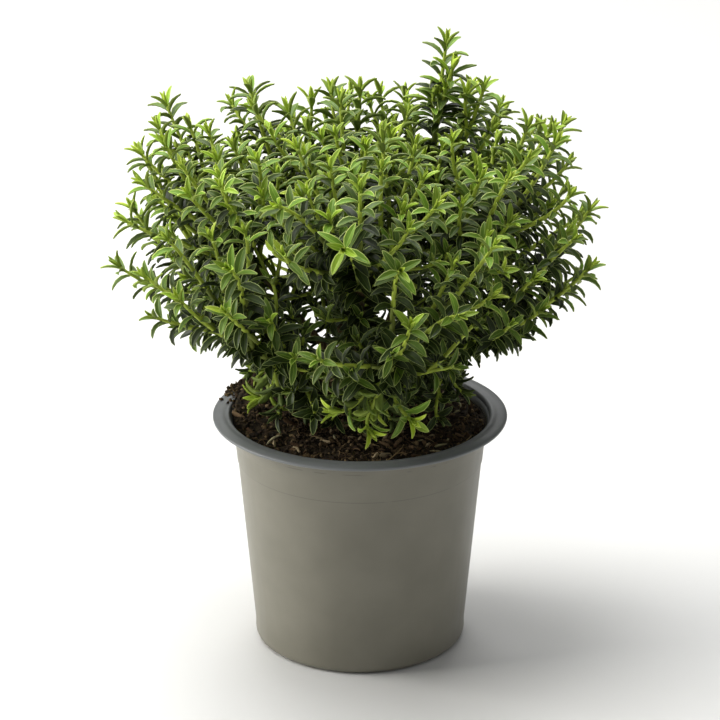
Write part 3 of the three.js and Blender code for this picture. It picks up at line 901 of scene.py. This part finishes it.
def wall_radius(z):
    """Outside radius of the pot's wall at a height."""
    return mix(POT["base_radius"], POT["wall_top_radius"], z / (POT["height"] - POT["rim_drop"]))


def arc(centre, radius, start, end, steps):
    """Points of an arc in the pot's profile, by angles in degrees."""
    turns = np.radians(np.linspace(start, end, steps))
    return [(centre[0] + radius * math.cos(t), centre[1] + radius * math.sin(t)) for t in turns]


def pot_profile():
    """The pot's section, from the middle of its underside up the outside, over the rim and down inside."""
    height, rim, wall, foot = POT["height"], POT["rim_radius"], POT["wall"], POT["foot_radius"]
    step = height - POT["step_below_rim"]
    mouth = rim - POT["rim_width"]
    lip = 0.65  # rounding of the lip's outer edge
    under = height - POT["rim_drop"]
    outside = [(0, 0), (POT["base_radius"] - foot - 3, 0)]
    outside += arc((wall_radius(foot) - foot, foot), foot, -90, 0, 7)
    outside += [(wall_radius(z) - POT["step_depth"], z) for z in np.linspace(foot + 3, step - 0.5, 16)]
    outside += [(wall_radius(step) - POT["step_depth"], step - 0.12), (wall_radius(step), step)]
    outside += [(wall_radius(z), z) for z in np.linspace(step + 1, under - 2.4, 26)]
    outside += arc((POT["wall_top_radius"] + 1.5, under - 1.7), 1.5, 180, 94, 7)
    outside += [(rim - 2.2, under - 0.1), (rim - 1, under - 0.25)]
    outside += arc((rim - lip, under + lip - 0.2), lip, -60, 50, 7)
    inside = [(rim - 1.4, height - 0.35), (rim - 2.4, height - 0.1), (rim - 3.2, height)]
    inside += [(rim - 4.0, height - 0.08)]
    inside += arc((mouth + 0.9, height - 1.1), 0.9, 62, 180, 6)
    inside += [(wall_radius(step) - wall, step - 1), (wall_radius(foot + wall) - wall, foot + wall)]
    inside += [(POT["base_radius"] - foot, wall), (0, wall)]
    return np.array(outside + inside)


def spun(profile, sides):
    """Points and triangles of a closed turned solid whose profile starts and ends on the axis."""
    turns = 2 * math.pi * np.arange(sides) / sides
    radius, z = profile[1:-1].T[:, :, None]
    points = np.stack([radius * np.cos(turns), radius * np.sin(turns), z + 0 * turns], 2).reshape(-1, 3)
    ends = np.array([[0, 0, profile[0, 1]], [0, 0, profile[-1, 1]]])
    return np.concatenate([points, ends]), closed_triangles(len(profile) - 2, sides)


def drain_cutters():
    """One mesh with a plug for each drain hole."""
    parts = []
    for i in range(POT["drain_holes"]):
        turn = 2 * math.pi * (i + 0.5) / POT["drain_holes"]
        x, y = math.cos(turn) * POT["drain_circle"], math.sin(turn) * POT["drain_circle"]
        centres = np.array([[x, y, -3.0], [x, y, 3.0]])
        some, wall = tube(centres, np.tile(UP, (2, 1)), [POT["drain_radius"]] * 2, 24)
        parts.append((some, wall, np.zeros(len(wall))))
    points, triangles, _ = joined(parts)
    return mesh_piece("drain_cutters", points, triangles, [])


def pot_piece():
    """The pot as one moulded shell with its drain holes cut through."""
    points, triangles = spun(pot_profile(), POT["sides"])
    pot = mesh_piece("moulded_pot", points, triangles, [polypropylene()])
    cutters = drain_cutters()
    cut = pot.modifiers.new("drain_holes", "BOOLEAN")
    cut.operation, cut.solver, cut.object = "DIFFERENCE", "EXACT", cutters
    shaped = bpy.data.meshes.new_from_object(pot.evaluated_get(bpy.context.evaluated_depsgraph_get()))
    pot.modifiers.clear()
    pot.data = shaped
    bpy.data.objects.remove(cutters)
    shaped.set_sharp_from_angle(angle=math.radians(35))
    return placed(pot, "pot", "pot")


# A thin line on the pot's wall: half its thickness, from full strength to none, and how often it breaks.
FAINT_LINE = {"half": (0.12, 0.3), "strength": 0.4, "breaks": 7.0}


def faint_line(tree, height, place, at, least):
    """How strongly a thin line at a height shows: a noise stretched upwards breaks it round the pot."""
    off = add(tree, "ShaderNodeMath", {0: height, 1: at * MM}, operation="SUBTRACT")
    distance = add(tree, "ShaderNodeMath", {0: off.outputs[0]}, operation="ABSOLUTE")
    line = add(tree, "ShaderNodeMapRange", {
        "Value": distance.outputs[0],
        "From Min": FAINT_LINE["half"][0] * MM,
        "From Max": FAINT_LINE["half"][1] * MM,
        "To Min": FAINT_LINE["strength"],
        "To Max": 0.0,
    })
    flat = add(tree, "ShaderNodeMapping", {"Vector": place.outputs["Object"], "Scale": (1, 1, 0)})
    breaks = add(tree, "ShaderNodeTexNoise", {
        "Vector": flat.outputs[0], "Scale": 1 / (FAINT_LINE["breaks"] * MM), "Detail": 2.0,
    })
    shows = add(tree, "ShaderNodeMapRange", {
        "Value": breaks.outputs["Fac"], "From Min": least, "From Max": least + 0.08,
    })
    both = add(tree, "ShaderNodeMath", {0: line.outputs[0], 1: shows.outputs[0]}, operation="MULTIPLY")
    return both.outputs[0]


def pot_colour(tree, place):
    """Taupe in faint clouds, with a cooler grey rim that is a painted reflection of the white sky, and two
    thin broken lines: a moulding seam and a painted shadow under the stacking step.
    """
    clouds = add(tree, "ShaderNodeTexNoise", {
        "Vector": place.outputs["Object"], "Scale": 1 / (22 * MM), "Detail": 3.0,
    })
    taupe = add(tree, "ShaderNodeValToRGB", {"Fac": clouds.outputs["Fac"]})
    taupe.color_ramp.elements[0].position, taupe.color_ramp.elements[0].color = 0.3, linear("#706d60")
    taupe.color_ramp.elements[1].position, taupe.color_ramp.elements[1].color = 0.7, linear("#7a776a")
    height = add(tree, "ShaderNodeSeparateXYZ", {"Vector": place.outputs["Object"]})
    rim = add(tree, "ShaderNodeMapRange", {
        "Value": height.outputs["Z"],
        "From Min": (POT["height"] - 5) * MM,
        "From Max": (POT["height"] - 2.4) * MM,
    }, interpolation_type="SMOOTHSTEP")
    # Painted reflection: towards the rim the taupe gives way to a cooler grey, standing in for the white sky
    # that the rim's upward face reflects.
    colour = add(tree, "ShaderNodeMix", {
        "Factor": rim.outputs["Result"], "A": taupe.outputs["Color"], "B": linear("#6c6f70"),
    }, data_type="RGBA")
    # The seam is a moulding mark; the second line, just under the stacking step, is a painted shadow where
    # the step's ledge faces down into shade.
    seam = faint_line(tree, height.outputs["Z"], place, POT["height"] - POT["seam_below_rim"], 0.5)
    painted_step_shadow = faint_line(tree, height.outputs["Z"], place, POT["height"] - POT["step_below_rim"] - 0.1, 0.3)
    for line in (seam, painted_step_shadow):
        colour = add(tree, "ShaderNodeMix", {
            "Factor": line, "A": colour.outputs["Result"], "B": linear("#4a4840"),
        }, data_type="RGBA")
    return colour.outputs["Result"]


def polypropylene():
    """Moulded polypropylene: a satin surface, with flow marks too faint to feel."""
    made, tree = material("moulded_polypropylene")
    place = add(tree, "ShaderNodeTexCoord")
    flow = add(tree, "ShaderNodeMapping", {"Vector": place.outputs["Object"], "Scale": (1, 1, 0.12)})
    marks = add(tree, "ShaderNodeTexNoise", {"Vector": flow.outputs[0], "Scale": 1 / (3 * MM), "Detail": 4.0})
    rough = add(tree, "ShaderNodeMapRange", {"Value": marks.outputs["Fac"], "To Min": 0.36, "To Max": 0.5})
    grain = add(tree, "ShaderNodeTexNoise", {
        "Vector": place.outputs["Object"], "Scale": 1 / (0.5 * MM), "Detail": 2.0,
    })
    relief = add(tree, "ShaderNodeBump", {
        "Height": grain.outputs["Fac"], "Strength": 0.06, "Distance": 0.1 * MM,
    })
    shader = add(tree, "ShaderNodeBsdfPrincipled", {
        "Base Color": pot_colour(tree, place), "Roughness": rough.outputs["Result"], "IOR": 1.49,
        "Normal": relief.outputs["Normal"],
    })
    finish_with(tree, shader)
    return made


# ---------------------------------------------------------------- compost

SOIL = {
    "grid": 1.1,
    "sides": 200,
    "heap": (-37.0, 15.0),  # middle of a heap at one side
    "heap_rise": 6.2,
    "heap_spread": 420.0,  # square millimetres
    "flat": 6.0,  # radius of the level ground at the main stem
    "edge": 8.0,  # from there to the full lumps
    "lumps": ((0.09, 1.1), (0.33, 0.7)),  # coarse and fine: how many to a millimetre, and how high
}
# Compost that lies on the lip: its direction from +X and how far that varies, in degrees, and its depth.
SPILL = {"turn": 143.0, "spread": 10.0, "depth": 1.6}
PEAT_CRUMBS = ("#1c1711", "#2e251b", "#413527", "#554632", "#716045")  # from wet to dry


def soil_radius():
    """Radius of the compost's top, where it meets the pot's inside."""
    return SOIL_BOX[1][0]


def heap_height(x, y):
    """How far the compost's heap at one side stands above its general level."""
    away = (x - SOIL["heap"][0]) ** 2 + (y - SOIL["heap"][1]) ** 2
    return SOIL["heap_rise"] * np.exp(-away / SOIL["heap_spread"])


def soil_height(x, y):
    """Height of the compost: lumpy, heaped a little on one side, flat at the main stem."""
    fade = min(1, max(0, (math.hypot(x, y) - SOIL["flat"]) / SOIL["edge"]))
    (coarse, coarse_height), (fine, fine_height) = SOIL["lumps"]
    lumps = coarse_height * noise.noise(Vector((x * coarse, y * coarse, 4.1)))
    lumps += fine_height * noise.noise(Vector((x * fine, y * fine, 1.7)))
    return SOIL_TOP + fade * (float(heap_height(x, y)) + lumps)


def soil_bed():
    """The compost as a closed plug with a finely lumpy top."""
    sides = SOIL["sides"]
    turns = 2 * math.pi * np.arange(sides) / sides
    floor = POT["wall"] + 0.4
    levels = [(POT["base_radius"] - 3, floor), (wall_radius(4) - 1.3, 4.0), (soil_radius() - 1, SOIL_TOP - 8)]
    points = [np.stack([r * np.cos(turns), r * np.sin(turns), np.full(sides, z)], 1) for r, z in levels]
    for r in np.linspace(soil_radius(), SOIL["grid"], round(soil_radius() / SOIL["grid"])):
        ring = [(r * math.cos(t), r * math.sin(t)) for t in turns]
        points.append(np.array([(x, y, soil_height(x, y)) for x, y in ring]))
    ends = np.array([[0, 0, floor], [0, 0, soil_height(0, 0)]])
    triangles = closed_triangles(len(points), sides)
    piece = mesh_piece("compost_bed", np.concatenate([*points, ends]), triangles, [peat()])
    return placed(piece, "soil", "soil")


def icosahedron():
    """Points and triangles of a regular icosahedron with radius 1."""
    g = (1 + math.sqrt(5)) / 2
    points = [(a, b * g, 0) for a in (-1, 1) for b in (-1, 1)]
    points += [(0, a, b * g) for a in (-1, 1) for b in (-1, 1)]
    points += [(b * g, 0, a) for a in (-1, 1) for b in (-1, 1)]
    points = unit(np.array(points, float))
    near = 1.1  # longer than an edge, shorter than any other distance between corners
    triangles = []
    for i in range(12):
        for j in range(i + 1, 12):
            for k in range(j + 1, 12):
                a, b, c = points[[i, j, k]]
                if max(np.linalg.norm(a - b), np.linalg.norm(b - c), np.linalg.norm(a - c)) < near:
                    outward = np.cross(b - a, c - a) @ (a + b + c) > 0
                    triangles.append((i, j, k) if outward else (i, k, j))
    return points, np.array(triangles)


def turned(draws, count):
    """Random rotation matrices."""
    q = unit(draws.normal(size=(count, 4)))
    w, x, y, z = q.T
    return np.stack([
        np.stack([1 - 2 * (y * y + z * z), 2 * (x * y - z * w), 2 * (x * z + y * w)], 1),
        np.stack([2 * (x * y + z * w), 1 - 2 * (x * x + z * z), 2 * (y * z - x * w)], 1),
        np.stack([2 * (x * z - y * w), 2 * (y * z + x * w), 1 - 2 * (x * x + y * y)], 1),
    ], 1)


def scattered(draws, count):
    """Places over the compost, even by area, clear of the main stem."""
    inner, outer = 5.5, soil_radius() - 0.8
    radii = np.sqrt(draws.uniform(inner ** 2, outer ** 2, count))
    turns = draws.uniform(0, 2 * math.pi, count)
    x, y = radii * np.cos(turns), radii * np.sin(turns)
    z = np.array([soil_height(a, b) for a, b in zip(x, y)])
    return np.stack([x, y, z], 1)


def spilled(draws, count):
    """Places on the part of the lip that compost lies on, piled up towards the middle of the spill."""
    off = draws.normal(0, 1, count)
    turns = np.radians(SPILL["turn"] + SPILL["spread"] * off)
    radii = draws.uniform(soil_radius() - 3, POT["rim_radius"] - 0.8, count)
    z = POT["height"] + SPILL["depth"] * draws.uniform(0, 1, count) * np.exp(-off ** 2 / 2)
    return np.stack([radii * np.cos(turns), radii * np.sin(turns), z], 1)


def lumps_piece(name, count, sizes, lift, colours, seed, places=scattered):
    """Many small broken lumps in one mesh. sizes are the least and greatest half axes, along x, y and z."""
    draws = np.random.default_rng(seed)
    corners, faces = icosahedron()
    axes = draws.uniform(*np.array(sizes), (count, 3)) * draws.uniform(0.6, 1.25, (count, 1))
    rough = 1 + draws.uniform(-0.28, 0.28, (count, 12, 1))
    shapes = corners[None] * rough * axes[:, None]
    shapes = np.einsum("nij,nkj->nki", turned(draws, count), shapes)
    shapes += places(draws, count)[:, None] + np.array([0, 0, lift])
    triangles = (faces[None] + (np.arange(count) * 12)[:, None, None]).reshape(-1, 3)
    kinds = np.repeat(draws.integers(0, len(colours), count), len(faces))
    materials = [crumb(f"{name}_{n + 1}", colour) for n, colour in enumerate(colours)]
    piece = mesh_piece(name, shapes.reshape(-1, 3), triangles, materials, kinds, smooth=False)
    return placed(piece, "soil")


def fibres_piece(name, count, lengths, thicknesses, curl, colours, seed):
    """Bent fibres that lie on the compost or stick out of it, in one mesh."""
    draws = np.random.default_rng(seed)
    parts = []
    for foot in scattered(draws, count):
        turn, length = draws.uniform(0, 2 * math.pi), draws.uniform(*lengths)
        along = np.array([math.cos(turn), math.sin(turn), draws.uniform(-0.1, 0.6)])
        bend = np.array([-along[1], along[0], 0]) * draws.uniform(-curl, curl) * length
        end = foot + along * length + bend - UP * 0.5
        curve = Bezier(foot, foot + along * length / 3 + UP, foot + along * length * 0.8 + bend * 0.2, end)
        if math.hypot(end[0], end[1]) > soil_radius() - 0.5:
            continue
        radii = draws.uniform(*thicknesses) * np.sin(np.linspace(0.4, math.pi - 0.4, 6))  # slim at both ends
        places = np.linspace(0, 1, 6)
        some, wall = tube(curve.points(places), curve.tangents(places), radii, 4)
        parts.append((some, wall, np.full(len(wall), draws.integers(0, len(colours)))))
    points, triangles, kinds = joined(parts)
    materials = [crumb(f"{name}_{n + 1}", colour) for n, colour in enumerate(colours)]
    return placed(mesh_piece(name, points, triangles, materials, kinds), "soil")


def crumb(name, colour):
    """A crumb of peat, bark or fibre: one matt colour to each."""
    made, tree = material(name)
    shader = add(tree, "ShaderNodeBsdfPrincipled", {
        "Base Color": linear(colour), "Roughness": 0.9, "Specular IOR Level": 0.15,
    })
    finish_with(tree, shader)
    return made


def peat():
    """Peat compost: moist, dark brown, crumbly, with paler fibres through it."""
    made, tree = material("peat_compost")
    place = add(tree, "ShaderNodeTexCoord")
    crumbs = add(tree, "ShaderNodeTexNoise", {
        "Vector": place.outputs["Object"], "Scale": 1 / (1.6 * MM), "Detail": 6.0, "Roughness": 0.65,
    })
    colours = add(tree, "ShaderNodeValToRGB", {"Fac": crumbs.outputs["Fac"]})
    colours.color_ramp.elements[0].position, colours.color_ramp.elements[0].color = 0.38, linear("#15110b")
    colours.color_ramp.elements[1].position, colours.color_ramp.elements[1].color = 0.72, linear("#463a29")
    relief = add(tree, "ShaderNodeBump", {
        "Height": crumbs.outputs["Fac"], "Strength": 0.8, "Distance": 0.6 * MM,
    })
    shader = add(tree, "ShaderNodeBsdfPrincipled", {
        "Base Color": colours.outputs["Color"], "Roughness": 0.92, "Specular IOR Level": 0.15,
        "Normal": relief.outputs["Normal"],
    })
    finish_with(tree, shader)
    return made


# ---------------------------------------------------------------- studio

def eye_point():
    """Where the camera stands, in millimetres."""
    tilt = math.radians(VIEW["elevation"])
    return np.array(VIEW["aim"]) + np.array([0, -math.cos(tilt), math.sin(tilt)]) * VIEW["distance"]


def set_camera():
    """A long lens that looks along +Y and down on the plant."""
    data = bpy.data.cameras.new("camera")
    data.lens = VIEW["lens"]
    data.sensor_width = 36
    data.clip_end = 20
    camera = bpy.data.objects.new("camera", data)
    bpy.context.scene.collection.objects.link(camera)
    camera.location = Vector(eye_point()) * MM
    camera.rotation_euler = (Vector(VIEW["aim"] - eye_point())).to_track_quat("-Z", "Y").to_euler()
    bpy.context.scene.camera = camera


# Soft lamps: name, place and what it points at, both in metres, width in metres, watts and colour.
MIDDLE = (0, 0, 0.12)
LAMPS = (
    ("side_softbox", (-1.3, 0.0, 0.6), MIDDLE, 0.8, 20.0, "#fffdf8"),
    ("top_softbox", (-0.3, 0.15, 1.5), MIDDLE, 0.9, 23.5, "#ffffff"),
    ("front_fill", (0.7, -1.3, 0.9), MIDDLE, 0.9, 1.0, "#f6f9ff"),
    ("backdrop_light", (0, 1.7, 1.5), (0, 1.5, 0), 1.5, 26.0, "#ffffff"),
)
SURROUND = 0.27  # strength of the white light from all round
FLOOR = {"half": 4000.0, "level": -0.2}


def soft_lamp(name, place, aim, width, watts, colour):
    data = bpy.data.lights.new(name, "AREA")
    data.energy, data.size, data.color = watts, width, linear(colour)[:3]
    lamp = bpy.data.objects.new(name, data)
    bpy.context.scene.collection.objects.link(lamp)
    lamp.location = place
    lamp.rotation_euler = (Vector(aim) - Vector(place)).to_track_quat("-Z", "Y").to_euler()


def white_paper():
    """Matt white paper, which shows soft shadows and no shine."""
    made, tree = material("matt_white_paper")
    shader = add(tree, "ShaderNodeBsdfPrincipled", {"Base Color": linear("#d2d2d0"), "Roughness": 0.8})
    finish_with(tree, shader)
    return made


def set_studio():
    """A pale floor, a white surround and soft lamps: the main ones from the left and from above."""
    half = FLOOR["half"]
    corners = [(x * half, y * half, FLOOR["level"]) for x, y in ((-1, -1), (1, -1), (1, 1), (-1, 1))]
    floor = mesh_piece("floor", corners, np.array([[0, 1, 2], [0, 2, 3]]), [white_paper()], smooth=False)
    world = bpy.data.worlds.new("studio")
    bpy.context.scene.world = world
    world.use_nodes = True
    world.node_tree.nodes["Background"].inputs["Color"].default_value = (1, 1, 1, 1)
    world.node_tree.nodes["Background"].inputs["Strength"].default_value = SURROUND
    for lamp in LAMPS:
        soft_lamp(*lamp)


# ---------------------------------------------------------------- the whole plant

set_camera()
set_studio()
bpy.context.scene.view_settings.view_transform = "Standard"

pot_piece()
soil_bed()
lumps_piece("compost_crumbs", 2600, (0.25, 0.95), 0.2, PEAT_CRUMBS, 31)
lumps_piece("bark_chips", 200, ((0.5, 0.4, 1.2), (1.1, 0.9, 3.0)), 0.5,
            ("#30241a", "#493726", "#6b5840", "#9a8a6c"), 32)
lumps_piece("spilled_crumbs", 700, (0.3, 1.0), 0.1, PEAT_CRUMBS[1:], 33, spilled)
fibres_piece("compost_fibres", 620, (1.6, 5.5), (0.07, 0.17), 0.9, ("#33281c", "#4a3a28", "#6b573d"), 88)
fibres_piece("straw_bits", 46, (3, 9), (0.12, 0.26), 0.7, ("#7b6848", "#978560"), 89)
fibres_piece("curled_litter", 22, (3, 6), (0.3, 0.5), 1.5, ("#8b8462", "#a19a78", "#5d5238"), 90)

crown = plan_crown()
bark = old_bark()
main_stem_piece(bark)
shoot_skins = [
    young_bark("shoot_tip_skin", "#a7b944"),
    young_bark("shoot_skin", "#707c33"),
    young_bark("shoot_bark", "#564a2f"),
]
leaf_skins, first_skin = leaf_materials()
for number, mass in enumerate(crown):
    bough_piece(mass, bark)
    leaves_piece(mass, number, leaf_skins, first_skin)
    twigs_piece(mass, shoot_skins)
